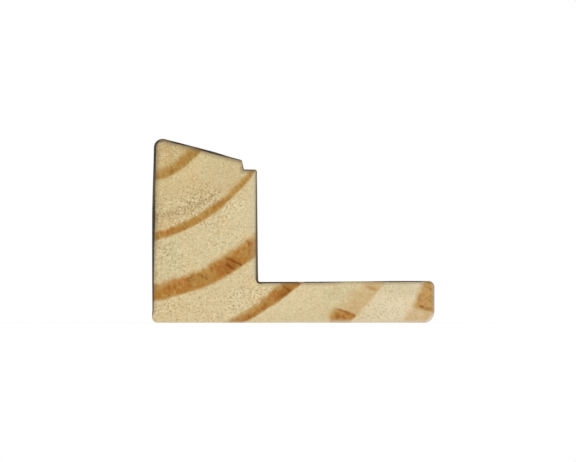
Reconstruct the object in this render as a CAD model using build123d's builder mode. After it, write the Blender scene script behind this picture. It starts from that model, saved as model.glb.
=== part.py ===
from build123d import *
import os
from math import cos, radians, sin, tan

# Float-frame moulding: one L-shaped stick of solid pine, milled to profile and cut square at both ends.
# It lies on its back. X runs across the section, from the outer face to the tip of the ledge,
# Y runs along the stick, and Z rises from the back to the crown.

# Driving dimensions, in millimetres and degrees
length = 304.8  # one foot of stock
width = 54.0  # outer face to ledge tip, across the back
height = 35.2  # back to the top of the rounded crown
ledge = 7.9  # thickness of the ledge that carries the canvas
face_width = 16.8  # sloping face, measured level from the outer face to its inner edge
face_slope = 15.3  # fall of the sloping face towards the canvas
step_drop = 1.8  # height of the small riser at the sight edge
step_width = 2.5  # flat of the step, from the riser to the nose
riser_lean = 13.0  # the riser leans back from upright
wall_draft = 0.6  # each side of the wall leans in towards the crown

# Rounds of the milled edges
crown_radius = 1.7
face_edge_radius = 0.3
riser_foot_radius = 0.2
nose_radius = 0.5
rebate_radius = 0.25
tip_radius = 1.0
tip_back_radius = 2.0
foot_radius = 1.0

draft = radians(wall_draft)
slope = radians(face_slope)

# Height of the crown's corner before it is rounded: the round takes this much off its top
crown_loss = crown_radius * ((cos(draft) + sin(slope)) / cos(slope - draft) - 1)

# Sharp corners of the section as (x, z), clockwise from the outer foot
foot = (-width / 2, 0)
crown_z = height + crown_loss
crown = (foot[0] + crown_z * tan(draft), crown_z)
face_edge = (crown[0] + face_width, crown[1] - face_width * tan(slope))
riser_foot = (face_edge[0] + step_drop * tan(radians(riser_lean)), face_edge[1] - step_drop)
nose = (riser_foot[0] + step_width, riser_foot[1])
rebate = (nose[0] + (nose[1] - ledge) * tan(draft), ledge)
tip = (width / 2, ledge)
tip_back = (width / 2, 0)

rounded_corners = [
    (foot, foot_radius),
    (crown, crown_radius),
    (face_edge, face_edge_radius),
    (riser_foot, riser_foot_radius),
    (nose, nose_radius),
    (rebate, rebate_radius),
    (tip, tip_radius),
    (tip_back, tip_back_radius),
]
corners = [corner for corner, _ in rounded_corners]
radii = [radius for _, radius in rounded_corners]

# The section, carried half the length to each side of the origin
with BuildPart() as moulding:
    with BuildSketch(Plane.XZ) as section:
        with BuildLine() as outline:
            FilletPolyline(*corners, radius=radii, close=True)
        make_face()
    extrude(amount=length / 2, both=True)
moulding.part.label = "moulding"

os.makedirs("parts", exist_ok=True)
export_step(moulding.part, "parts/moulding.step")

print("volume in mm3", round(moulding.part.volume), "and size", moulding.part.bounding_box().size)
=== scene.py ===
import math
import bmesh
import bpy
import numpy as np
from types import SimpleNamespace
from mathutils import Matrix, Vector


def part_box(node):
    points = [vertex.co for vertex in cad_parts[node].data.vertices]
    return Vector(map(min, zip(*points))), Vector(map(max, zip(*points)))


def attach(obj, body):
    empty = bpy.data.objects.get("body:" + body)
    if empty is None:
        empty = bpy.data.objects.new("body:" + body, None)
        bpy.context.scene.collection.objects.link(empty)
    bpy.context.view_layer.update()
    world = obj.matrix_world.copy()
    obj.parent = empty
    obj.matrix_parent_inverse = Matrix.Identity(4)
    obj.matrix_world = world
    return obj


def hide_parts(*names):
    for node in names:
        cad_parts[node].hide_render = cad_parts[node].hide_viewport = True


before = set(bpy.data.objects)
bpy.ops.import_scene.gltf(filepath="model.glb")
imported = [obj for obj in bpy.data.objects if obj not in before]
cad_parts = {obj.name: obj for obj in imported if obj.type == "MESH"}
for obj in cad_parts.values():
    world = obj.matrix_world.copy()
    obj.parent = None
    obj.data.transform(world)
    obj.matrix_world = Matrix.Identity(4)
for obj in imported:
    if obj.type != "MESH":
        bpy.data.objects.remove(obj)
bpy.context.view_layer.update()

# Float-frame moulding: a stick of raw pine with a brown-black coat on its show faces.
# X runs across the section, Y along the stick, Z up from its back. Sizes are in mm until a mesh is made.

mm = 0.001
stickLow, stickHigh = [np.array(corner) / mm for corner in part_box("moulding")]
stickLength = stickHigh[1] - stickLow[1]
halfLength = stickLength / 2
halfWidth = stickHigh[0]
stickHeight = stickHigh[2]

# The milled section, with the solid's own sizes
section = {
    "ledge": 7.9,  # thickness of the ledge that carries the canvas
    "faceWidth": 16.8,  # sloping face, measured level
    "faceSlope": 15.3,  # degrees
    "stepDrop": 1.8,  # the small riser at the sight edge
    "stepWidth": 2.5,
    "riserLean": 13.0,  # degrees off upright
    "wallDraft": 0.6,  # degrees off upright
    "rounds": {  # of each corner, clockwise from the outer foot
        "foot": 1.0, "crown": 1.7, "faceEdge": 0.3, "riserFoot": 0.2,
        "nose": 0.5, "rebate": 0.25, "tip": 1.0, "tipBack": 2.0,
    },
    "arcPoints": 13,  # points on each round, an odd number
    "spacing": 0.24,  # between points on the flats
    "slopeCounts": (1, 0.35),  # what a mm across and a mm down count in spacing points over the slope
}


# Each vector over its own length
def unit(vectors):
    return vectors / np.linalg.norm(vectors, axis=-1, keepdims=True)


# Sharp corners of the section, clockwise from the outer foot: the crown stands where the outer face
# and the slope meet once the round has taken its bit off the top, and the rest follow from it in turn
def sectionCorners(s):
    draft = math.radians(s["wallDraft"])
    slope = math.radians(s["faceSlope"])
    lean = math.radians(s["riserLean"])
    lost = s["rounds"]["crown"] * ((math.cos(draft) + math.sin(slope)) / math.cos(slope - draft) - 1)
    foot = (-halfWidth, 0)
    crown = (foot[0] + (stickHeight + lost) * math.tan(draft), stickHeight + lost)
    faceEdge = (crown[0] + s["faceWidth"], crown[1] - s["faceWidth"] * math.tan(slope))
    riserFoot = (faceEdge[0] + s["stepDrop"] * math.tan(lean), faceEdge[1] - s["stepDrop"])
    nose = (riserFoot[0] + s["stepWidth"], riserFoot[1])
    rebate = (nose[0] + (nose[1] - s["ledge"]) * math.tan(draft), s["ledge"])
    tip = (halfWidth, s["ledge"])
    tipBack = (halfWidth, 0)
    corners = np.array([foot, crown, faceEdge, riserFoot, nose, rebate, tip, tipBack], float)
    return corners, np.array(list(s["rounds"].values()))


cornerAt = dict(zip(section["rounds"], sectionCorners(section)[0].tolist()))


# Each corner's round: the centre lies on the bisector at radius over sin of the half angle,
# and the arc turns evenly from one touching point to the other
def roundCorners(corners, radii, points):
    toLast = unit(np.roll(corners, 1, axis=0) - corners)
    toNext = unit(np.roll(corners, -1, axis=0) - corners)
    half = np.arccos(np.sum(toLast * toNext, axis=1)) / 2
    centre = corners + unit(toLast + toNext) * (radii / np.sin(half))[:, None]
    reach = (radii / np.tan(half))[:, None]
    start = corners + toLast * reach - centre
    end = corners + toNext * reach - centre
    turn = (math.pi - 2 * half)[:, None, None]
    w = np.linspace(0, 1, points)[None, :, None]
    swing = (np.sin((1 - w) * turn) * start[:, None] + np.sin(w * turn) * end[:, None]) / np.sin(turn)
    return centre[:, None] + swing


# Joins arcs or single points by straight runs of evenly spaced points
def joined(pieces, spacing):
    line = [np.atleast_2d(pieces[0])]
    for piece in pieces[1:]:
        piece = np.atleast_2d(piece)
        gap = piece[0] - line[-1][-1]
        steps = max(1, round(float(np.linalg.norm(gap)) / spacing))
        line.append(line[-1][-1] + gap * np.arange(1, steps)[:, None] / steps)
        line.append(piece)
    return np.concatenate(line)


# How far along a line each of its points is, from 0 to 1, with steps across and up weighed
def stations(line, weights=(1, 1)):
    travel = np.abs(np.diff(line, axis=0)) @ np.array(weights, float)
    return np.concatenate([[0], np.cumsum(travel)]) / travel.sum()


# The points at given stations of a line
def pointsAt(line, at):
    own = stations(line)
    return np.stack([np.interp(at, own, line[:, 0]), np.interp(at, own, line[:, 1])], axis=1)


# The section's boundary in seven lines of arcs and flats, clockwise from the middle of the foot's round.
# Lines that face each other across the wall or the ledge have the same number of points.
def sectionLines(s):
    arcs = roundCorners(*sectionCorners(s), s["arcPoints"])
    foot, crown, faceEdge, riserFoot, nose, rebate, tip, tipBack = arcs
    middle = s["arcPoints"] // 2
    gap = s["spacing"]
    underRebate = np.array([rebate[middle, 0], 0.0])
    slopeAndStep = joined([crown[middle:], faceEdge, riserFoot, nose[: middle + 1]], gap)
    innerWall = joined([nose[middle:], rebate[: middle + 1]], gap)
    ledgeTop = joined([rebate[middle:], tip[: middle + 1]], gap)
    seam = joined([underRebate, rebate[middle]], gap)
    wallRight = np.concatenate([seam[:-1], innerWall[::-1]])
    outerFace = pointsAt(joined([foot[middle:], crown[: middle + 1]], gap), stations(wallRight))
    tipFace = pointsAt(joined([tip[middle:], tipBack[: middle + 1]], gap), 1 - stations(seam)[::-1])
    baseUnderLedge = pointsAt(joined([tipBack[middle:], underRebate], gap), 1 - stations(ledgeTop)[::-1])
    overWall = stations(slopeAndStep, s["slopeCounts"])
    baseUnderWall = pointsAt(joined([underRebate, foot[: middle + 1]], gap), 1 - overWall[::-1])
    return dict(
        outerFace=outerFace, slopeAndStep=slopeAndStep, innerWall=innerWall, ledgeTop=ledgeTop,
        tipFace=tipFace, baseUnderLedge=baseUnderLedge, baseUnderWall=baseUnderWall,
    )


# The coat in mm, along upright faces by height and along the others by the place across:
# how thick it is, and how far it stands off the solid's outline where it is uneven
coat = {
    "thickness": {
        "outerFace": [(1.1, 0.0), (1.9, 0.10), (2.7, 0.20), (4.7, 0.24), (9.0, 0.32), (14.0, 0.40),
                      (20.6, 0.62), (25.5, 0.50), (30.5, 0.46), (34.5, 0.46)],
        "slopeAndStep": [(-26.2, 0.46), (-23.5, 0.40), (-20.0, 0.30), (-15.5, 0.42), (-12.8, 0.32),
                         (-10.6, 0.20), (-10.2, 0.12), (-9.8, 0.12), (-9.4, 0.20), (-8.0, 0.22),
                         (-7.0, 0.18)],
        "innerWall": [(7.9, 0.40), (9.0, 0.38), (13.0, 0.34), (18.0, 0.29), (23.5, 0.18), (26.3, 0.13),
                      (27.3, 0.08), (28.7, 0.07), (29.2, 0.14)],
        "ledgeTop": [(-6.7, 0.42), (-6.0, 0.30), (0.0, 0.22), (6.0, 0.18), (10.0, 0.10), (15.0, 0.08),
                     (18.5, 0.20), (23.8, 0.21), (24.8, 0.12), (25.6, 0.06), (26.8, 0.05)],
        "tipFace": [(5.6, 0.0), (6.9, 0.05), (7.7, 0.05)],
    },
    "standOff": {
        "outerFace": [(1.0, 0.0), (2.6, -0.05), (6.0, 0.02), (11.0, 0.095), (18.5, 0.178), (21.0, 0.195),
                      (25.0, 0.15), (30.0, 0.05), (33.0, 0.0)],
        "slopeAndStep": [(-24.0, 0.0), (-20.0, 0.06), (-15.0, 0.10), (-12.0, 0.0)],
        "innerWall": [(8.5, 0.0), (10.0, -0.025), (28.7, -0.02), (29.2, 0.0)],
        "ledgeTop": [(-6.7, 0.0), (-6.2, -0.08), (4.0, -0.04), (10.0, 0.0), (19.0, 0.10), (26.0, 0.10),
                     (26.8, 0.0)],
    },
    "byPlaceAcross": ("slopeAndStep", "ledgeTop"),
    "eased": 0.06,  # taken off the coat's cut edge
    "edgeRow": 2.0,  # the first row of points in from an end
    "rows": 16,
}


# A table's amount at each point of a line, and none where the table leaves that line out
def alongLine(table, name, line):
    if name not in table:
        return np.zeros(len(line))
    place, amount = np.array(table[name]).T
    return np.interp(line[:, 0 if name in coat["byPlaceAcross"] else 1], place, amount)


# One closed ring of the section, stood off where the coat is uneven, and inside it the bare wood's ring,
# set in by the coat's thickness
lines = sectionLines(section)
ring = np.concatenate([line[:-1] for line in lines.values()])
ringStart = dict(zip(lines, np.cumsum([0] + [len(line) - 1 for line in lines.values()])))
thickness, standOff = [
    np.concatenate([alongLine(coat[what], name, line)[:-1] for name, line in lines.items()])
    for what in ("thickness", "standOff")
]
along = unit(np.roll(ring, -1, axis=0) - np.roll(ring, 1, axis=0))
outward = np.stack([-along[:, 1], along[:, 0]], axis=1)
ring = ring + outward * standOff[:, None]
woodRing = ring - outward * thickness[:, None]
print("section", len(ring), "points round, coat up to", round(float(thickness.max()), 2), "mm")


# One named line of the wood's ring, with the point where the next line starts
def woodLine(name):
    first = ringStart[name]
    return np.take(woodRing, np.arange(first, first + len(lines[name])), axis=0, mode="wrap")


# A patch between four lines: the blend across plus the blend up, less the blend of its four corners
def patch(bottom, top, left, right, u, v):
    u = u[None, :, None]
    v = v[:, None, None]
    acrossBlend = (1 - u) * left[:, None] + u * right[:, None]
    upBlend = (1 - v) * bottom[None] + v * top[None]
    cornerBlend = (
        (1 - u) * (1 - v) * bottom[0] + u * (1 - v) * bottom[-1] + (1 - u) * v * top[0] + u * v * top[-1]
    )
    return acrossBlend + upBlend - cornerBlend


# The sawn end as two patches, the wall with what is under it and the ledge, that share an upright seam
def endPatches():
    base = woodLine("baseUnderWall")[::-1]
    slope = woodLine("slopeAndStep")
    wall = woodLine("innerWall")[::-1]
    outer = woodLine("outerFace")
    seamSteps = len(outer) - len(wall)
    seam = base[-1] + (wall[0] - base[-1]) * np.linspace(0, 1, seamSteps + 1)[:, None]
    right = np.concatenate([seam[:-1], wall])
    overSlope = stations(slope, section["slopeCounts"])
    wallPatch = patch(base, slope, outer, right, overSlope, stations(right))
    ledgeTop = woodLine("ledgeTop")
    underLedge = woodLine("baseUnderLedge")[::-1]
    tip = woodLine("tipFace")[::-1]
    ledgePatch = patch(underLedge, ledgeTop, seam, tip, stations(ledgeTop), stations(seam))
    return [wallPatch, ledgePatch]


# The tree that the stick was cut from: growth rings round a pith off its upper outer corner.
# A ring has its outer edge's distance from the pith, the width of its latewood, how slowly that darkens,
# its strength and its colour. "blur" is a ring's own blur in place of the edge blur that the others share.
# "taper" starts the latewood some mm later, and "edgeTaper" ends it some mm sooner, as the turn round the
# pith goes from the first degree to the second, which may lie on either side of it.
# "pale" weakens a ring past a line through a point, falling to the right, on its upper or its lower side.
tree = {
    "pith": (-33.74, 46.8),  # across and up, at the near end
    "lean": (1.6, -0.9),  # how far the pith wanders off over the stick's length
    "edgeBlur": 0.36,
    "wave": 0.4,  # how far whole rings wander
    "innerRagged": 1.35,  # how ragged a ring's inner and outer edges are
    "outerRagged": 0.35,
    "paleRagged": 0.9,
    "paleUneven": 1.5,
    "grainRadius": 45.0,  # the distance from the pith at which a turn counts as travel along the rings
    "grainAlong": 0.02,  # how far the grain changes for each mm along the stick
    "rings": [
        {"edge": 21.28, "late": 2.7, "soft": 1.6, "strength": 0.97, "tone": (172, 134, 69),
         "taper": [(27, 22.5, -0.2)], "edgeTaper": [(27, 22.5, 0.35)]},
        {"edge": 31.87, "late": 1.9, "soft": 1.1, "strength": 1.0, "tone": (173, 131, 62),
         "taper": [(37, 43, 0.34)], "edgeTaper": [(39.5, 41.5, 0.13), (46, 49, -0.10)]},
        {"edge": 43.20, "late": 4.0, "soft": 1.9, "strength": 1.0, "tone": (173, 120, 51), "blur": 0.46,
         "taper": [(16, 13, 0.22), (25, 29, -0.28)], "edgeTaper": [(12.5, 14.5, 0.15), (19, 21, -0.15)]},
        {"edge": 52.70, "late": 2.25, "soft": 2.0, "strength": 1.0, "tone": (169, 118, 51),
         "taper": [(28.5, 31, -0.35), (31, 37, -0.65)],
         "edgeTaper": [(29.5, 31, 0.14), (34, 35.5, -0.14)]},
        {"edge": 64.45, "late": 4.5, "soft": 2.7, "strength": 0.96, "tone": (190, 139, 71),
         "taper": [(42.4, 40.8, 1.4), (45, 43, -0.4), (44, 46.5, -0.25), (48, 50, 0.7)],
         "pale": {"point": (10.0, 2.15), "fall": 20, "blur": 0.4, "side": "upper", "left": 0.30}},
        {"edge": 79.00, "late": 8.4, "soft": 2.0, "strength": 0.68, "tone": (190, 142, 76),
         "taper": [(52.5, 55.5, -0.9)],
         "pale": {"point": (24.5, 2.60), "fall": 12, "blur": 0.4, "side": "lower", "left": 0.31}},
    ],
}

stick = {
    "latewoodProud": 0.035,  # the saw leaves the hard latewood standing
    "proudDrop": 0.3,  # width of its drop at a ring's outer edge
    "tooth": 0.02,  # roughness of the sawn end
    "toothLumps": (2.2, 200),  # lumps to a mm, and a shift that picks which ones
    "cornerBreak": ((26.79, 1.97), (25.01, 0.15)),  # line where the broken corner of the near end starts
    "cornerSlope": 0.8,
    "cornerRagged": 0.35,
    "raggedLumps": (1.4, 50),
    "nearSeed": 3,
    "farSeed": 8,
    "edgeRow": 1.5,  # the first row of points in from an end
    "rows": 26,
}


# Latewood from 0 to 1 at places on an end: for each ring a slow rise across its latewood, then a quick drop
def latewoodAt(x, z):
    radius = np.hypot(x - tree["pith"][0], z - tree["pith"][1])
    total = np.zeros_like(radius)
    for one in tree["rings"]:
        past = radius - one["edge"]
        darkening = np.clip((past + one["late"]) / one["soft"], 0, 1)
        drop = np.clip((past + stick["proudDrop"] / 2) / stick["proudDrop"], 0, 1)
        total = total + darkening * (1 - drop)
    return total


# Smooth random heights from 0 to 1: a lattice of seeded values with an eased blend between neighbours
def lumps(x, z, pattern, seed):
    perMm, shift = pattern
    u, v = x * perMm + shift, z * perMm + shift
    size = 64
    lattice = np.random.default_rng(seed).random((size, size))
    iu, iv = np.floor(u).astype(int), np.floor(v).astype(int)
    fu, fv = u - iu, v - iv
    fu, fv = fu * fu * (3 - 2 * fu), fv * fv * (3 - 2 * fv)
    iu, iv, nextU, nextV = iu % size, iv % size, (iu + 1) % size, (iv + 1) % size
    low = lattice[iu, iv] * (1 - fu) + lattice[nextU, iv] * fu
    high = lattice[iu, nextV] * (1 - fu) + lattice[nextU, nextV] * fu
    return low * (1 - fv) + high * fv


# How far a place lies past the line where the corner broke off: its distance from that line
def pastBreak(x, z):
    (startX, startZ), (endX, endZ) = stick["cornerBreak"]
    length = math.hypot(endX - startX, endZ - startZ)
    return ((x - startX) * (startZ - endZ) + (z - startZ) * (endX - startX)) / length


# Depth of a sawn end below its highest point: soft earlywood, saw tooth, and the broken back corner
def endDepth(points, seed, broken):
    x, z = points[..., 0], points[..., 1]
    depth = stick["latewoodProud"] * (1 - latewoodAt(x, z))
    depth = depth + stick["tooth"] * lumps(x, z, stick["toothLumps"], seed)
    if broken:
        ragged = stick["cornerRagged"] * (lumps(x, z, stick["raggedLumps"], seed + 1) - 0.5)
        depth = depth + np.clip(pastBreak(x, z) + ragged, 0, None) * stick["cornerSlope"]
    return depth


# Where the two ends lie along the stick at points of the section: half its length, less the depth
def nearFace(points):
    return endDepth(points, stick["nearSeed"], True) - halfLength


def farFace(points):
    return halfLength - endDepth(points, stick["farSeed"], False)


# Four-sided faces of a grid whose points are numbered row by row
def gridFaces(rows, columns, first):
    corner = first + np.arange(rows * columns).reshape(rows, columns)
    cells = np.stack([corner[:-1, :-1], corner[:-1, 1:], corner[1:, 1:], corner[1:, :-1]], axis=-1)
    return cells.reshape(-1, 4)


# Metres, metres and degrees
meshing = {"merge": 1e-6, "sliver": 1e-7, "sharpAngle": 32}


# A new object in the scene
def placed(name, data):
    made = bpy.data.objects.new(name, data)
    bpy.context.collection.objects.link(made)
    return made


# Puts grids of points into one mesh, merges the points they share and turns the faces outwards
def makePiece(name, grids, maps=None):
    points = np.concatenate([grid.reshape(-1, 3) for grid in grids]) * mm
    starts = np.cumsum([0] + [grid.shape[0] * grid.shape[1] for grid in grids])
    faces = np.concatenate([gridFaces(*grid.shape[:2], first) for grid, first in zip(grids, starts)])
    mesh = bpy.data.meshes.new(name)
    mesh.from_pydata(points.tolist(), [], faces.tolist())
    if maps is not None:  # the ends get most of the stick's map, so that their grain stays sharp
        places = np.concatenate([one.reshape(-1, 2) for one in maps])
        layer = mesh.uv_layers.new(name="OFBake")
        layer.data.foreach_set("uv", places[faces.ravel()].ravel())
    work = bmesh.new()
    work.from_mesh(mesh)
    bmesh.ops.remove_doubles(work, verts=work.verts, dist=meshing["merge"])
    bmesh.ops.dissolve_degenerate(work, edges=work.edges, dist=meshing["sliver"])
    bmesh.ops.recalc_face_normals(work, faces=work.faces)
    work.to_mesh(mesh)
    work.free()
    mesh.polygons.foreach_set("use_smooth", np.ones(len(mesh.polygons), bool))
    mesh.set_sharp_from_angle(angle=math.radians(meshing["sharpAngle"]))
    print(name, len(mesh.polygons), "faces")
    return placed(name, mesh)


# Section points set at a place along the stick: across, along, up
def across3d(points, y):
    return np.stack([points[..., 0], np.broadcast_to(y, points.shape[:-1]), points[..., 1]], axis=-1)


# A ring with its first point again at the end
def closed(values):
    return np.concatenate([values, values[:1]])


# The stick: both ends as patches with their relief, and the ring carried along Y between them
patches = endPatches()
nearEnds = [across3d(one, nearFace(one)) for one in patches]
farEnds = [across3d(one, farFace(one)) for one in patches]
loop = closed(woodRing)
rowPlaces = np.linspace(stick["edgeRow"] - halfLength, halfLength - stick["edgeRow"], stick["rows"])
side = np.stack(
    [across3d(loop, nearFace(loop))]
    + [across3d(loop, y) for y in rowPlaces]
    + [across3d(loop, farFace(loop))]
)

# The stick's map for baking, from 0 to 1 each way: the near end fills its width, the far end lies smaller
# in the hollow of the near end's L, and the sides lie above both, with little room for what the coat hides
bakeMap = {
    "margin": 0.01,
    "farShare": 0.6,  # of the near end's scale
    "farPlace": (0.385, 0.17),
    "sidesFrom": 0.67,
    "hiddenCounts": 0.05,  # what a painted mm counts round the sides
}
mapWidth = 1 - 2 * bakeMap["margin"]
nearScale = mapWidth / (2 * halfWidth)
farScale = bakeMap["farShare"] * nearScale
fromFoot = [one - (-halfWidth, 0) for one in patches]
nearMaps = [one * nearScale + bakeMap["margin"] for one in fromFoot]
farMaps = [one * farScale + bakeMap["farPlace"] for one in fromFoot]
counts = np.where(closed(thickness) > 0, bakeMap["hiddenCounts"], 1.0)
girth = np.concatenate([[0], np.cumsum(np.linalg.norm(np.diff(loop, axis=0), axis=1) * counts[1:])])
sidesHigh = 1 - bakeMap["margin"] - bakeMap["sidesFrom"]
alongMap = bakeMap["margin"] + mapWidth * (side[:, :1, 1] + halfLength) / stickLength
roundMap = bakeMap["sidesFrom"] + sidesHigh * girth[None] / girth[-1]
sideMap = np.stack(np.broadcast_arrays(alongMap, roundMap), axis=-1)

pineStick = makePiece("pine_stick", nearEnds + farEnds + [side], nearMaps + farMaps + [sideMap])

# The coat: the strip between the two rings where the coat has thickness, carried along Y, with its cut ends
painted = np.flatnonzero(thickness > 0)
painted = np.arange(painted[0] - 1, painted[-1] + 2)
skin, under = ring[painted], woodRing[painted]
eased = np.minimum(coat["eased"], thickness[painted] / 2)
easedSkin = skin - outward[painted] * eased[:, None]
nearCut, farCut = nearFace(under), farFace(under)
coatRows = np.linspace(coat["edgeRow"] - halfLength, halfLength - coat["edgeRow"], coat["rows"])
strip = np.stack(
    [across3d(under, nearCut), across3d(easedSkin, nearCut), across3d(skin, nearCut + eased)]
    + [across3d(skin, y) for y in coatRows]
    + [across3d(skin, farCut - eased), across3d(easedSkin, farCut), across3d(under, farCut)]
    + [across3d(under, y) for y in coatRows[::-1]]
    + [across3d(under, nearCut)]
)
paintCoat = makePiece("paint_coat", [strip])


# A socket that takes part in sums: each operator adds a Math node
class Wire:
    def __init__(self, graph, socket=None):
        self.graph = graph
        self.socket = socket

    # Any node: its kind, its settings, then the values or wires of its sockets
    def node(self, kind, settings=None, sockets=None, out=0):
        made = self.graph.nodes.new(kind)
        for name, value in (settings or {}).items():
            if name == "stops":
                band = made.color_ramp.elements
                while len(band) < len(value):
                    band.new(0.5)  # moved to its own place below
                for stop, (place, tone) in zip(band, value):
                    stop.position = place
                    stop.color = tone
            else:
                setattr(made, name, value)
        for name, value in (sockets or {}).items():
            if isinstance(value, Wire):
                self.graph.links.new(value.socket, made.inputs[name])
            else:
                made.inputs[name].default_value = value
        return Wire(self.graph, made.outputs[out] if len(made.outputs) else None)

    # Another output of the same node
    def out(self, name):
        return Wire(self.graph, self.socket.node.outputs[name])

    def math(self, operation, *values):
        return self.node("ShaderNodeMath", {"operation": operation}, dict(enumerate(values)))

    def __add__(self, other):
        return self.math("ADD", self, other)

    def __sub__(self, other):
        return self.math("SUBTRACT", self, other)

    def __rsub__(self, other):
        return self.math("SUBTRACT", other, self)

    def __mul__(self, other):
        return self.math("MULTIPLY", self, other)

    def __truediv__(self, other):
        return self.math("DIVIDE", self, other)

    __radd__ = __add__
    __rmul__ = __mul__


# From 0 at low to 1 at high, either of which may be the greater, eased at both ends by default
def rise(value, low, high, easing="SMOOTHSTEP"):
    return value.node(
        "ShaderNodeMapRange", {"interpolation_type": easing}, {0: value, 1: low, 2: high, 3: 0.0, 4: 1.0}
    )


# From 1 at full down to 0 at gone
def fall(value, full, gone):
    return rise(value, gone, full)


# An amount that comes in from start to full
def ramped(value, start, full, amount):
    return rise(value, start, full) * amount


# The strongest of several amounts
def strongest(amounts):
    total = amounts[0]
    for one in amounts[1:]:
        total = total.math("MAXIMUM", total, one)
    return total


# The sum of named values, each times its share
def weighed(at, shares):
    return sum(getattr(at, name) * share for name, share in shares.items())


# One colour with some of another mixed in
def mixColour(amount, first, second):
    return amount.node("ShaderNodeMix", {"data_type": "RGBA"}, {0: amount, 6: first, 7: second}, out=2)


# Cloudy noise from 0 to 1, with so many lumps to a mm each way
def cloud(place, lumpsToMm, detail, roughness):
    at = place.node("ShaderNodeVectorMath", {"operation": "MULTIPLY"}, {0: place, 1: lumpsToMm})
    return place.node(
        "ShaderNodeTexNoise", {}, {"Vector": at, "Scale": 1.0, "Detail": detail, "Roughness": roughness}
    )


# Adds a table's noises to the named places and values of a material
def addNoises(at, place, table):
    for name, values in table.items():
        setattr(at, name, cloud(place, *values))


# Noise set about 0, so that it swings something by up to half the reach each way
def sway(noise, reach):
    return (noise - 0.5) * reach


# A colour as a screen shows it, from 0 to 255, made linear for a shader
def shade(red, green, blue):
    screen = np.array([red, green, blue]) / 255
    linear = np.where(screen <= 0.04045, screen / 12.92, ((screen + 0.055) / 1.055) ** 2.4)
    return (*linear.tolist(), 1.0)


# A wire to start new nodes from, in place of those that come with a material or a surround
def emptied(owner):
    owner.use_nodes = True
    owner.node_tree.nodes.clear()
    return Wire(owner.node_tree)


def newMaterial(name):
    material = bpy.data.materials.new(name)
    return material, emptied(material)


def surface(wire, shader):
    wire.node("ShaderNodeOutputMaterial", {}, {"Surface": shader})


# Places on a piece in mm: the whole vector, its three parts, and the vector with the way along left out
def placesOn(wire):
    place = wire.node("ShaderNodeTexCoord", {}, {}, out="Object")
    place = wire.node("ShaderNodeVectorMath", {"operation": "SCALE"}, {0: place, "Scale": 1 / mm})
    x = wire.node("ShaderNodeSeparateXYZ", {}, {0: place})
    flat = wire.node("ShaderNodeVectorMath", {"operation": "MULTIPLY"}, {0: place, 1: (1.0, 0.0, 1.0)})
    return SimpleNamespace(place=place, x=x, y=x.out("Y"), z=x.out("Z"), flat=flat)


# Distance from a corner of the section, the same all along the stick
def fromCorner(at, name):
    across, up = at.x - cornerAt[name][0], at.z - cornerAt[name][1]
    return across.math("SQRT", across * across + up * up)


# Depth behind the outer face, which leans in by the wall's draft
def behindOuterFace(at):
    return at.x - at.z * math.tan(math.radians(section["wallDraft"])) + halfWidth


# The shader that both finishes end in, with their fine relief as a bump
def finishWith(wire, finish, colour, roughness, height):
    bump = wire.node(
        "ShaderNodeBump", {}, {"Strength": finish["bump"], "Distance": finish["relief"], "Height": height}
    )
    sockets = {"Base Color": colour, "Roughness": roughness, "Normal": bump}
    sockets["Specular IOR Level"] = finish["specular"]
    surface(wire, wire.node("ShaderNodeBsdfPrincipled", {}, sockets))


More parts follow.
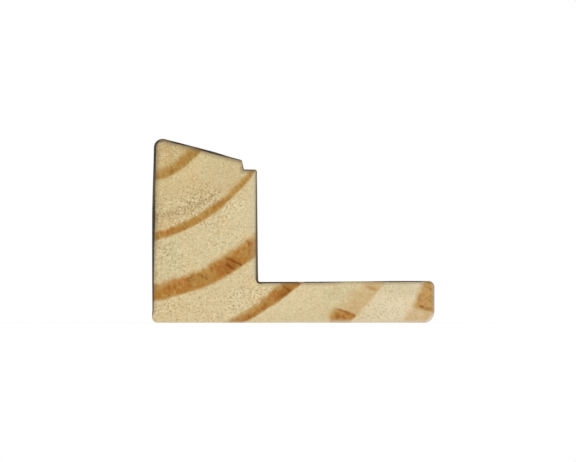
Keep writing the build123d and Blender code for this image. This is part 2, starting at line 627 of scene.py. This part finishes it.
pine = {
    "earlywood": [  # screen colours by distance from the pith
        (14.0, (185, 163, 121)), (17.0, (192, 170, 121)), (19.5, (197, 174, 121)),
        (22.5, (210, 191, 144)), (26.5, (210, 191, 145)), (29.0, (208, 187, 141)),
        (34.0, (213, 196, 153)), (46.0, (215, 197, 153)), (53.3, (223, 205, 164)),
        (57.0, (218, 201, 160)), (61.0, (217, 200, 158)), (68.0, (229, 214, 181)),
    ],
    "reach": (10.0, 80.0),  # distances from the pith that the colours are spread over
    "paleWood": (207, 187, 140),  # what a ring's own colour meets half way
    "golden": shade(193, 152, 90),
    "orange": shade(179, 114, 44),
    "olive": shade(177, 141, 74),
    "russet": shade(185, 110, 51),
    "greenish": shade(201, 190, 149),
    "deep": shade(130, 70, 16),
    "speckDark": shade(139, 106, 62),
    "speckPale": shade(243, 230, 192),
    "peach": shade(222, 183, 126),
    "soaked": shade(91, 82, 70),  # where paint has crept into the end grain
    "greyed": shade(196, 190, 170),  # handled wood along the inner wall
    "weathered": shade(182, 165, 146),  # along the ledge's bare tip
    "dusty": shade(220, 208, 184),  # paler towards the back edge of the sawn ends, painted light that lifts the floor's contact shade there
    "broken": shade(233, 220, 202),  # fresh fibre on the broken corner, with the highlight that its facet catches painted in
    "overspray": shade(58, 48, 36),
    "roughness": (0.82, -0.12),  # of earlywood, and what latewood adds
    "specular": 0.08,
    "bump": 0.3,
    "relief": 0.0001,  # metres
    # Noise: lumps to a mm across, along and up, then detail and roughness
    "noise": {
        "warmth": ((0.22, 0.01, 0.22), 2.0, 0.5), "tint": ((0.62, 0.015, 0.62), 4.0, 0.66),
        "speck": ((3.1, 0.03, 3.4), 2.0, 0.6), "openness": ((0.16, 0.01, 0.16), 1.0, 0.5),
        "uneven": ((0.8, 0.02, 0.8), 3.0, 0.6), "drift": ((0.7, 0.012, 0.7), 3.0, 0.6),
        "grainLines": ((2.6, 0.025, 2.6), 3.0, 0.6), "ragged": ((0.6, 0.07, 0.6), 3.0, 0.6),
    },
    # Noise that follows the rings: lumps round the pith, along the stick and outwards
    "ringNoise": {
        "pits": ((1.7, 2.0, 3.4), 2.0, 0.5), "wave": ((0.14, 1.0, 0.08), 1.0, 0.5),
        "innerEdge": ((1.2, 1.2, 0.42), 3.0, 0.62), "outerEdge": ((1.2, 1.2, 0.4), 2.0, 0.5),
        "fleck": ((1.25, 1.2, 0.95), 3.0, 0.66),
    },
    # Layers: a noise, the colour that it brings, its values where that starts and is full, and the strength
    "earlyClouds": [
        ("warmth", "peach", 0.52, 0.78, 0.25), ("tint", "peach", 0.5, 0.76, 0.30),
        ("tint", "greenish", 0.5, 0.24, 0.40),
    ],
    "lateDrifts": [
        ("drift", "orange", 0.5, 0.66, 0.45), ("drift", "olive", 0.5, 0.34, 0.45),
    ],
    "lateFlecks": [
        ("fleck", "golden", 0.5, 0.26, 0.78), ("fleck", "deep", 0.5, 0.78, 0.90),
        ("speck", "deep", 0.5, 0.82, 0.36), ("speck", "golden", 0.5, 0.2, 0.41),
    ],
    "lateFrom": (0.22, 0.78),  # how far the latewood has darkened where its layers start and are full
    "outerGolden": (5.0, 0.5, 0.12),  # mm behind the outer face where it starts and is full, then strength
    "speckle": {
        "dark": (0.5, 0.82), "pale": (0.5, 0.2),
        "least": 0.55,  # strength away from the open cells
        "openness": (0.35, 0.65, 0.4), "closed": 0.8,
        "softFrom": (48.0, 57.0), "softTo": (61.0, 67.0),  # from the pith, where dark specks are weaker
        "softer": 0.28, "softLost": 0.55,  # by how much, and the share of that lost beyond
    },
    "pitRow": {  # a false ring of dark pits, which drifts outwards with the turn round the pith
        "start": (26.7, 27.4), "end": (27.7, 28.4),
        "fromTurn": 16, "lastTurn": (38, 46),  # degrees
        "outwards": 4.0,  # mm a radian
        "pits": (0.42, 0.6), "strength": 0.42,
        # Fewer pits in the wood on both sides of it
        "aroundStart": (22.0, 26.0), "aroundEnd": (29.0, 30.2), "aroundStrength": 0.16,
    },
    "sawn": (0.9, 0.3),  # mm from an end where its edge colours start and are full
    "innerWall": {"depth": (0.2, 1.8), "height": 1.0, "onLatewood": 0.5, "strength": 0.42},
    "tipEdge": {"depth": 0.7, "height": (1.0, 2.5), "strength": 0.75},
    # A paler tint along the back edge of the sawn ends, painted light that lifts the floor's contact shade
    # there. Under the wall, then under the ledge
    "dust": {"ledgeFrom": (-6.0, 4.0), "height": (0.5, 0.85), "strength": (0.5, 0.75)},
    "soak": {  # how deep the paint has crept behind each face, and how strongly
        "outer": (1.4, 0.6), "slope": (1.25, 0.66), "step": (1.1, 0.6),
        "wall": (0.6, 0.8), "ledge": (1.1, 0.58),
    },
    "soakFull": 0.05,
    # Where it crept less deep: heights or places across where that starts and is full, and by how many mm
    "outerHeldBack": [(18.0, 5.0, 0.30), (2.4, 0.4, 1.5)],
    "ledgeHeldBack": [(7.0, 10.0, 0.30), (15.0, 19.0, -0.12)],
    "cornerHeldBack": 0.6,
    "spray": {
        "tipDepth": (0.12, 0.02), "tipHeight": (0.2, 6.5),
        "tipStrength": (0.06, 0.7),  # at the bottom, and what is added towards the top
        "footDepth": (0.1, 0.3), "footHeight": (0.9, 1.7), "footStrength": 0.9,
        "ragged": 2.4, "footRagged": 0.3,  # the second is the share of that at the foot
        "grain": (0.35, 0.65, 0.45), "offGrain": 0.62,
    },
    "freshFibreAndHighlight": {"past": (-0.05, 0.25), "depth": (1.0, 2.0), "strength": 0.9},
    # Spots: place across and up, half length, half width, fall to the right in degrees, strength
    "openCells": [  # where the speckle is strong
        (-20.2, 20.9, 11.5, 4.8, -14, 0.58), (-24.0, 30.0, 4.0, 3.5, 0, 0.22),
        (-24.8, 11.2, 5.5, 5.2, 0, 0.38), (-15.0, 15.0, 7.0, 3.4, -25, 0.24),
        (-20.5, 3.8, 8.0, 4.4, 0, 0.36), (-10.5, 2.8, 8.5, 4.2, -15, 0.5),
    ],
    "soakedSpots": [(-25.4, 34.75, 1.4, 0.45, 0, 0.6)],
    "greenishSpots": [
        (8.6, 5.7, 3.2, 1.7, 0, 0.45), (20.4, 6.4, 4.0, 1.7, 0, 0.5),
        (-24.6, 12.4, 4.5, 4.5, 0, 0.35),
    ],
    "russetSpots": [
        (-24.3, 17.75, 2.8, 0.9, -16, 0.5), (-22.0, 8.1, 2.0, 0.8, -15, 0.5),
        (-13.6, 10.9, 2.4, 1.3, -30, 0.35), (-4.2, 4.95, 1.6, 0.8, -35, 0.55),
        (9.9, 1.3, 1.8, 0.8, 10, 0.4),
    ],
    "oliveSpots": [
        (-24.5, 28.3, 2.4, 0.7, -25, 0.4), (-23.1, 29.15, 1.7, 0.9, -30, 0.55),
        (-20.8, 19.1, 1.2, 0.7, -22, 0.6), (-17.8, 20.5, 2.2, 0.9, -29, 0.45),
        (-17.3, 8.8, 3.0, 1.6, -22, 0.6), (-8.6, 13.2, 1.4, 1.3, -38, 0.4),
        (-6.0, 4.5, 1.2, 0.6, -30, 0.5),
    ],
    "goldenSpots": [
        (-11.2, 26.0, 3.2, 0.9, -47, 0.38), (-9.3, 1.7, 2.9, 0.65, -28, 0.6),
        (24.8, 4.6, 1.3, 0.5, 40, 0.45), (14.8, 6.8, 1.9, 0.8, 15, 0.42),
        (-20.5, 25.8, 6.0, 2.2, 0, 0.13),
    ],
    "pitch": [  # dark resin
        (-14.3, 23.1, 1.1, 0.7, -40, 0.22), (-12.3, 10.86, 2.6, 1.35, -33, 0.38),
        (-11.3, 11.74, 1.85, 0.3, 25, 0.9), (-10.17, 11.19, 0.5, 0.3, 35, 0.85),
        (-12.1, 10.75, 1.25, 0.42, 33, 0.95), (-12.56, 11.28, 0.55, 0.24, 20, 0.6),
        (-12.89, 10.33, 0.6, 0.34, 60, 0.5), (-1.9, 5.6, 2.2, 0.85, -38, 0.36),
        (-0.9, 6.27, 0.62, 0.36, 38, 0.85), (-1.47, 6.65, 0.8, 0.26, 35, 0.7),
        (-1.85, 5.45, 0.95, 0.5, -15, 0.62), (-2.8, 4.84, 0.65, 0.45, 20, 0.4),
        (-3.2, 6.08, 0.3, 0.25, 20, 0.35), (9.75, 2.16, 2.35, 0.22, 19, 0.48),
        (10.5, 1.78, 0.55, 0.36, 60, 0.45), (8.47, 1.3, 0.8, 0.6, 50, 0.42),
        (9.7, 1.0, 0.75, 0.3, 35, 0.32), (11.53, 1.4, 0.45, 0.36, 40, 0.4),
        (15.0, 6.6, 1.2, 0.26, 22, 0.28), (24.55, 3.1, 0.62, 0.28, 24, 0.72),
        (25.9, 2.62, 1.3, 0.48, 6, 0.38), (24.2, 5.1, 0.6, 0.34, -50, 0.22),
        (26.2, 4.17, 0.75, 0.28, 40, 0.35), (26.3, 6.3, 0.6, 0.26, 45, 0.3),
        (25.7, 6.8, 0.7, 0.26, 20, 0.28),
    ],
    "spotRun": 9.0,  # how far these spots follow the grain along the stick
    "spotEdge": (0.05, 1.3),  # squares of the distance over which a spot fades, in its half sizes
}


# Soft-edged ellipses across the section, of which the strongest counts at each point
def spots(at, places):
    amounts = []
    for across, up, halfLong, halfWide, tilt, strength in places:
        sockets = {"Vector": at.flat, "Location": (across, 0.0, up), "Scale": (halfLong, 1.0, halfWide)}
        sockets["Rotation"] = (0.0, math.radians(tilt), 0.0)
        own = at.flat.node("ShaderNodeMapping", {"vector_type": "TEXTURE"}, sockets)
        product = {"operation": "DOT_PRODUCT"}
        square = own.node("ShaderNodeVectorMath", product, {0: own, 1: own}, out="Value")
        amounts.append(fall(square, *pine["spotEdge"]) * strength)
    return strongest(amounts)


# Lays colours over another where their noises call for them
def layered(at, colour, layers, where=1.0):
    for noise, tone, start, full, strength in layers:
        colour = mixColour(ramped(getattr(at, noise), start, full, strength) * where, colour, pine[tone])
    return colour


# Lays spots of one colour over another, at the near end only
def spotted(at, colour, places, tone, where=1.0):
    return mixColour(spots(at, pine[places]) * at.nearEnd * where, colour, pine[tone])


# Adds what is measured from the pith: distance, turn, and places that follow the rings
def aroundPith(wire, at):
    fromEnd = (at.y + halfLength) / stickLength
    across = at.x - fromEnd * tree["lean"][0] - tree["pith"][0]
    down = fromEnd * tree["lean"][1] + tree["pith"][1] - at.z
    at.radius = wire.math("SQRT", across * across + down * down)
    at.turn = wire.math("ARCTAN2", across, down)
    at.degrees = at.turn * math.degrees(1)
    travel = at.turn * tree["grainRadius"]
    onward = at.y * tree["grainAlong"]
    at.grain = wire.node("ShaderNodeCombineXYZ", {}, {0: travel, 1: onward, 2: at.radius})


# Earlywood by distance from the pith, with peachy and greenish clouds
def earlywood(at):
    low, high = pine["reach"]
    stops = [((place - low) / (high - low), shade(*tone)) for place, tone in pine["earlywood"]]
    far = (at.radius - low) / (high - low)
    colour = far.node("ShaderNodeValToRGB", {"stops": stops}, {0: far})
    colour = layered(at, colour, pine["earlyClouds"])
    colour = spotted(at, colour, "greenishSpots", "greenish")
    return mixColour(ramped(at.x + halfWidth, *pine["outerGolden"]), colour, pine["golden"])


# Speckle of the open cells: strong at the left, weaker towards the tip
def speckled(at, colour):
    look = pine["speckle"]
    zone = spots(at, pine["openCells"]) + look["least"]
    zone = zone * (ramped(at.openness, *look["openness"]) + look["closed"])
    softer = 1 - ramped(at.radius, *look["softTo"], look["softLost"])
    softer = softer * rise(at.radius, *look["softFrom"])
    dark = rise(at.speck, *look["dark"]) * zone * (1 - softer * look["softer"])
    colour = mixColour(dark, colour, pine["speckDark"])
    return mixColour(rise(at.speck, *look["pale"]) * zone, colour, pine["speckPale"])


# Rows of dark pits along a false ring, and a few in the wood on both sides of it
def pitted(at, colour):
    look = pine["pitRow"]
    rowAt = at.radius - (at.turn - math.radians(look["fromTurn"])) * look["outwards"]
    row = rise(rowAt, *look["start"]) * fall(rowAt, *look["end"]) * fall(at.degrees, *look["lastTurn"])
    around = rise(at.radius, *look["aroundStart"]) * fall(at.radius, *look["aroundEnd"])
    amount = row * look["strength"] + around * look["aroundStrength"]
    return mixColour(amount * rise(at.pits, *look["pits"]), colour, pine["speckDark"])


# A ring's latewood: dark from its inner edge to its outer one, weaker past its pale line
def ringAmount(one, at, inner, outer, uneven):
    edge = one["edge"]
    start = edge - one["late"]
    blur = one.get("blur", tree["edgeBlur"])
    for taper in one.get("taper", []):
        inner = inner - ramped(at.degrees, *taper)
    for taper in one.get("edgeTaper", []):
        outer = outer + ramped(at.degrees, *taper)
    amount = rise(inner, start, start + one["soft"]) * one["strength"]
    amount = amount * fall(outer, edge - blur, edge + blur)
    if "pale" in one:
        pale = one["pale"]
        tilt = math.radians(pale["fall"])
        across, up = at.x - pale["point"][0], at.z - pale["point"][1]
        above = up * math.cos(tilt) + across * math.sin(tilt)
        if pale["side"] == "lower":
            above = above * -1
        keep = fall(above + uneven * tree["paleRagged"], -pale["blur"], pale["blur"])
        left = (1 + uneven * tree["paleUneven"]) * (pale["left"] / one["strength"])
        amount = amount * (keep + (1 - keep) * left)
    return amount


# Latewood: wavy rings with ragged edges, each from pale wood through tan to its own brown
def ringed(at, colour):
    wavy = at.radius + sway(at.wave, tree["wave"])
    inner = wavy + sway(at.innerEdge, tree["innerRagged"])
    outer = wavy + sway(at.outerEdge, tree["outerRagged"])
    uneven = sway(at.uneven, 1.0)
    late = 0.0
    for one in tree["rings"]:
        amount = ringAmount(one, at, inner, outer, uneven)
        tan = [(pale + own) / 2 for pale, own in zip(pine["paleWood"], one["tone"])]
        colour = mixColour(rise(amount, 0.0, 0.5, "LINEAR"), colour, shade(*tan))
        colour = mixColour(rise(amount, 0.5, 1.0, "LINEAR"), colour, shade(*one["tone"]))
        late = amount + late
    return colour, late


# Mottling of the latewood: drifts of orange and olive, golden and deep flecks, spots and pitch
def mottled(at, colour, late):
    full = rise(late, *pine["lateFrom"])
    colour = layered(at, colour, pine["lateDrifts"], full)
    colour = spotted(at, colour, "russetSpots", "russet", full)
    colour = spotted(at, colour, "oliveSpots", "olive", full)
    colour = spotted(at, colour, "goldenSpots", "golden")
    colour = layered(at, colour, pine["lateFlecks"], full)
    return spotted(at, colour, "pitch", "deep")


# Paint soaked into the end grain: for each painted face it falls off with the depth behind that face
def paintSoak(at):
    x, z = at.x, at.z
    crown, riserFoot, nose, rebate = [cornerAt[name] for name in ("crown", "riserFoot", "nose", "rebate")]
    slope = math.radians(section["faceSlope"])
    heldBack = pine["cornerHeldBack"]
    outer = behindOuterFace(at)
    for one in pine["outerHeldBack"]:
        outer = outer + ramped(z, *one)
    ledge = rebate[1] - z
    for one in pine["ledgeHeldBack"]:
        ledge = ledge + ramped(x, *one)
    depths = {
        "outer": outer,
        "slope": (crown[1] - (x - crown[0]) * math.tan(slope) - z) * math.cos(slope),
        "step": strongest([riserFoot[0] - x, riserFoot[1] - z]),
        "wall": strongest([nose[0] - x, rebate[1] - z + heldBack]),
        "ledge": strongest([ledge, rebate[0] - x + heldBack]),
    }
    amounts = [spots(at, pine["soakedSpots"])]
    for name, (reach, strength) in pine["soak"].items():
        amounts.append(fall(depths[name], pine["soakFull"], reach) * strength)
    return strongest(amounts)


# Edges of the sawn ends: greyed inner wall, weathered tip, a paler back edge painted as light against the
# floor's contact shade, and soaked paint
def edged(at, colour, late):
    x, z = at.x, at.z
    sawn = rise(at.y.math("ABSOLUTE", at.y), *[halfLength - one for one in pine["sawn"]])
    look = pine["innerWall"]
    foot = cornerAt["rebate"][1]
    handled = fall(cornerAt["nose"][0] - x, *look["depth"]) * rise(z, foot, foot + look["height"])
    handled = handled * (1 - late * look["onLatewood"]) * look["strength"]
    colour = mixColour(handled, colour, pine["greyed"])
    look = pine["tipEdge"]
    tip = rise(x, halfWidth - look["depth"], halfWidth) * rise(z, *look["height"]) * look["strength"]
    colour = mixColour(sawn * tip, colour, pine["weathered"])
    # Painted light: paler towards the back edge of the ends, lifting the floor's contact shade
    look = pine["dust"]
    ledgeSide = rise(x, *look["ledgeFrom"])
    height, strength = [ledgeSide * (two - one) + one for one, two in (look["height"], look["strength"])]
    colour = mixColour(sawn * (fall(z / height, 0.0, 1.0) * strength), colour, pine["dusty"])
    return mixColour(sawn * paintSoak(at), colour, pine["soaked"])


# Overspray that thins out down the tip's face and under the coat's lower edge, more of it in the grain
def oversprayed(at, colour):
    look = pine["spray"]
    ragged = sway(at.ragged, look["ragged"])
    least, more = look["tipStrength"]
    onTip = rise(at.x, *[halfWidth - one for one in look["tipDepth"]])
    onTip = onTip * (ramped(at.z + ragged, *look["tipHeight"], more) + least)
    onFoot = fall(behindOuterFace(at), *look["footDepth"]) * look["footStrength"]
    onFoot = onFoot * rise(at.z + ragged * look["footRagged"], *look["footHeight"])
    inGrain = ramped(at.grainLines, *look["grain"]) + look["offGrain"]
    return mixColour(strongest([onTip, onFoot]) * inGrain, colour, pine["overspray"])


# Fresh fibre on the broken corner, and a painted highlight on its facet
def brokenCornerPaleAndLit(at, colour):
    look = pine["freshFibreAndHighlight"]
    amount = rise(pastBreak(at.x, at.z), *look["past"]) * fall(at.y + halfLength, *look["depth"])
    return mixColour(amount * look["strength"], colour, pine["broken"])


def rawPine():
    material, wire = newMaterial("raw_pine")
    at = placesOn(wire)
    aroundPith(wire, at)
    at.nearEnd = fall(at.y + halfLength, 0.0, pine["spotRun"])
    addNoises(at, at.place, pine["noise"])
    addNoises(at, at.grain, pine["ringNoise"])
    colour = pitted(at, speckled(at, earlywood(at)))
    colour, late = ringed(at, colour)
    colour = edged(at, mottled(at, colour, late), late)
    colour = brokenCornerPaleAndLit(at, oversprayed(at, colour))
    rough, smoother = pine["roughness"]
    finishWith(wire, pine, colour, late * smoother + rough, at.speck)
    return material


paint = {
    "body": shade(50, 40, 27),
    "brown": shade(62, 49, 34),
    "worn": shade(112, 86, 57),
    "fibre": shade(168, 146, 110),  # bared wood in the chips
    "chips": [  # along the near end, as spots
        (-24.5, 34.8, 1.5, 0.9, 8, 0.36), (-19.7, 33.1, 2.0, 0.8, 15, 0.38),
        (-9.8, 29.9, 0.9, 1.3, 0, 0.35), (-7.5, 29.2, 1.5, 0.6, 0, 0.28),
        (1.6, 7.9, 0.7, 0.6, 0, 0.75), (12.4, 7.9, 3.0, 0.8, 0, 0.6),
        (26.2, 7.8, 1.5, 0.8, 0, 0.6), (-7.0, 16.0, 10.0, 0.8, 90, 0.15),
        (-26.8, 26.0, 4.0, 0.8, 90, 0.13), (-12.0, 31.7, 1.6, 0.8, 15, 0.2),
    ],
    "chipDepth": (0.2, 0.8),  # how far those reach along the stick
    # Round each worn edge, the distances where the wear is full and where it ends
    "wornEdges": {"crown": (0.5, 1.5), "faceEdge": (0.15, 0.7), "nose": (0.2, 0.9), "tip": (0.4, 1.4)},
    "wornPatches": (0.46, 0.72),
    "wornStrength": 0.45,
    "wornEnds": {"depth": (1.2, 0.1), "patches": (0.5, 0.7), "strength": 0.35},
    "dullCorner": (0.3, 1.6),  # round the rebate's inner corner, where the sheen is lost
    "noise": {
        "fibre": ((1.5, 0.022, 1.5), 3.0, 0.6), "brushLines": ((5.5, 0.05, 5.5), 2.0, 0.6),
        "drift": ((0.35, 0.006, 0.35), 2.0, 0.5), "nibs": ((1.6, 1.1, 1.6), 2.0, 0.6),
        "rubbed": ((0.5, 0.035, 0.5), 3.0, 0.65), "chipped": ((0.9, 0.9, 0.9), 3.0, 0.65),
    },
    "nibs": (0.66, 0.78),
    # What each mark adds to the brown, to the roughness and to the height of the relief
    "brownShares": {"fibre": 0.6, "drift": 0.4},
    "brownFrom": (0.36, 0.68),
    "roughness": 0.44,
    "roughShares": {"fibre": 0.16, "brushLines": 0.10, "rubbed": 0.12, "corner": 0.3, "nibs": 0.08},
    "heightShares": {"fibre": 0.7, "brushLines": 0.3, "nibs": 0.25},
    "specular": 0.28,
    "bump": 0.3,
    "relief": 0.0002,  # metres
}


# Wear along the arrises: near each edge's line the paint is rubbed thin in places along the stick
def rubbedEdges(at, noise):
    near = [fall(fromCorner(at, name), *reach) for name, reach in paint["wornEdges"].items()]
    return strongest(near) * rise(noise, *paint["wornPatches"])


# Paint with the wood's grain telegraphing through, drawn out along the stick, and fine brush lines
def brownBlackPaint():
    material, wire = newMaterial("brown_black_paint")
    at = placesOn(wire)
    addNoises(at, at.place, paint["noise"])
    at.nibs = rise(at.nibs, *paint["nibs"])
    at.rubbed = rubbedEdges(at, at.rubbed)
    at.corner = fall(fromCorner(at, "rebate"), *paint["dullCorner"])
    brown = rise(weighed(at, paint["brownShares"]), *paint["brownFrom"])
    colour = mixColour(brown, paint["body"], paint["brown"])
    colour = mixColour(at.rubbed * paint["wornStrength"], colour, paint["worn"])
    look = paint["wornEnds"]
    ends = rise(wire.math("ABSOLUTE", at.y), *[halfLength - one for one in look["depth"]])
    ends = ends * ramped(at.chipped, *look["patches"], look["strength"])
    colour = mixColour(ends, colour, paint["worn"])
    chipped = spots(at, paint["chips"]) * fall(at.y + halfLength, *paint["chipDepth"])
    colour = mixColour(chipped, colour, paint["fibre"])
    roughness = weighed(at, paint["roughShares"]) + paint["roughness"]
    finishWith(wire, paint, colour, roughness, weighed(at, paint["heightShares"]))
    return material


pineStick.data.materials.append(rawPine())
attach(pineStick, "root")
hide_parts("moulding")
paintCoat.data.materials.append(brownBlackPaint())
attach(paintCoat, "root")
print("materials made")

# Studio: pale floor, white surround and soft lamps
studio = {
    "floorReach": 40.0,  # metres
    "floorWhite": 0.96,
    "floorLift": 0.34,  # share of plain white that the camera sees in the floor by the stick
    "sweep": (0.22, 0.7),  # metres from the stick over which the floor turns to plain white
    "ambient": 0.66,
    "lamps": [  # name, place in metres, size, power in watts
        ("front_softbox", (-0.8, -2.4, 1.3), 1.6, 22.4),
        ("left_softbox", (-2.2, 0.3, 1.6), 1.4, 16.0),
        ("back_softbox", (1.4, 1.9, 1.5), 1.4, 12.0),
    ],
}


# White to the camera, to mirrors and to glass, and its own light to all else
def seenWhite(wire, plainShader, share, whiteKind, whiteSockets):
    path = wire.node("ShaderNodeLightPath", {}, {}, out="Is Camera Ray")
    seen = path + path.out("Is Glossy Ray") + path.out("Is Transmission Ray")
    seen = wire.node("ShaderNodeClamp", {}, {0: seen})
    white = wire.node(whiteKind, {}, whiteSockets)
    return wire.node("ShaderNodeMixShader", {}, {0: seen * share, 1: plainShader, 2: white})


# Sets a lamp or a camera down and turns it to a target
def aim(holder, spot, target):
    holder.location = spot
    look = type(holder.location)(target) - holder.location
    holder.rotation_euler = look.to_track_quat("-Z", "Y").to_euler()


def makeStudio():
    reach = studio["floorReach"]
    mesh = bpy.data.meshes.new("floor")
    corners = [(-reach, -reach, 0), (reach, -reach, 0), (reach, reach, 0), (-reach, reach, 0)]
    mesh.from_pydata(corners, [], [(0, 1, 2, 3)])
    floor = placed("floor", mesh)
    material, wire = newMaterial("pale_floor")
    tone = studio["floorWhite"]
    plain = wire.node("ShaderNodeBsdfDiffuse", {}, {"Color": (tone, tone, tone, 1.0)})
    place = wire.node("ShaderNodeTexCoord", {}, {}, out="Object")
    away = wire.node("ShaderNodeVectorMath", {"operation": "LENGTH"}, {0: place}, out="Value")
    lift = studio["floorLift"]
    share = rise(away, *studio["sweep"]) * (1 - lift) + lift
    surface(wire, seenWhite(wire, plain, share, "ShaderNodeEmission", {"Strength": 1.0}))
    mesh.materials.append(material)
    world = bpy.data.worlds.new("white_surround")
    wire = emptied(world)
    white = (1.0, 1.0, 1.0, 1.0)
    plain = wire.node("ShaderNodeBackground", {}, {"Color": white, "Strength": studio["ambient"]})
    both = seenWhite(wire, plain, 1.0, "ShaderNodeBackground", {"Color": white, "Strength": 1.0})
    wire.node("ShaderNodeOutputWorld", {}, {"Surface": both})
    bpy.context.scene.world = world
    for name, spot, size, power in studio["lamps"]:
        lamp = bpy.data.lights.new(name, "AREA")
        lamp.shape = "SQUARE"
        lamp.size = size
        lamp.energy = power
        holder = placed(name, lamp)
        aim(holder, spot, (0, 0, 0))
        holder.visible_camera = False


makeStudio()

# Camera: level with the sawn end, on a line inside the section that hides every face behind it
camera = {
    "lens": 600.0,
    "sensor": 36.0,
    "pictureWide": 576,
    "mmToPixel": 0.19122,
    "stand": (-8.0, 0.15),  # across and up
    "aim": (-0.99, 17.55),  # what the middle of the picture shows
    "clipEnd": 100.0,  # metres
}


def makeCamera():
    data = bpy.data.cameras.new("photo_camera")
    data.lens = camera["lens"]
    data.sensor_width = camera["sensor"]
    data.sensor_fit = "HORIZONTAL"
    data.clip_end = camera["clipEnd"]
    holder = placed("photo_camera", data)
    seenWide = camera["pictureWide"] * camera["mmToPixel"]
    away = seenWide * camera["lens"] / camera["sensor"]
    spot = np.array([camera["stand"][0], -halfLength - away, camera["stand"][1]]) * mm
    target = np.array([camera["aim"][0], -halfLength, camera["aim"][1]]) * mm
    aim(holder, spot, target)
    bpy.context.scene.camera = holder


makeCamera()
bpy.context.scene.view_settings.view_transform = "Standard"
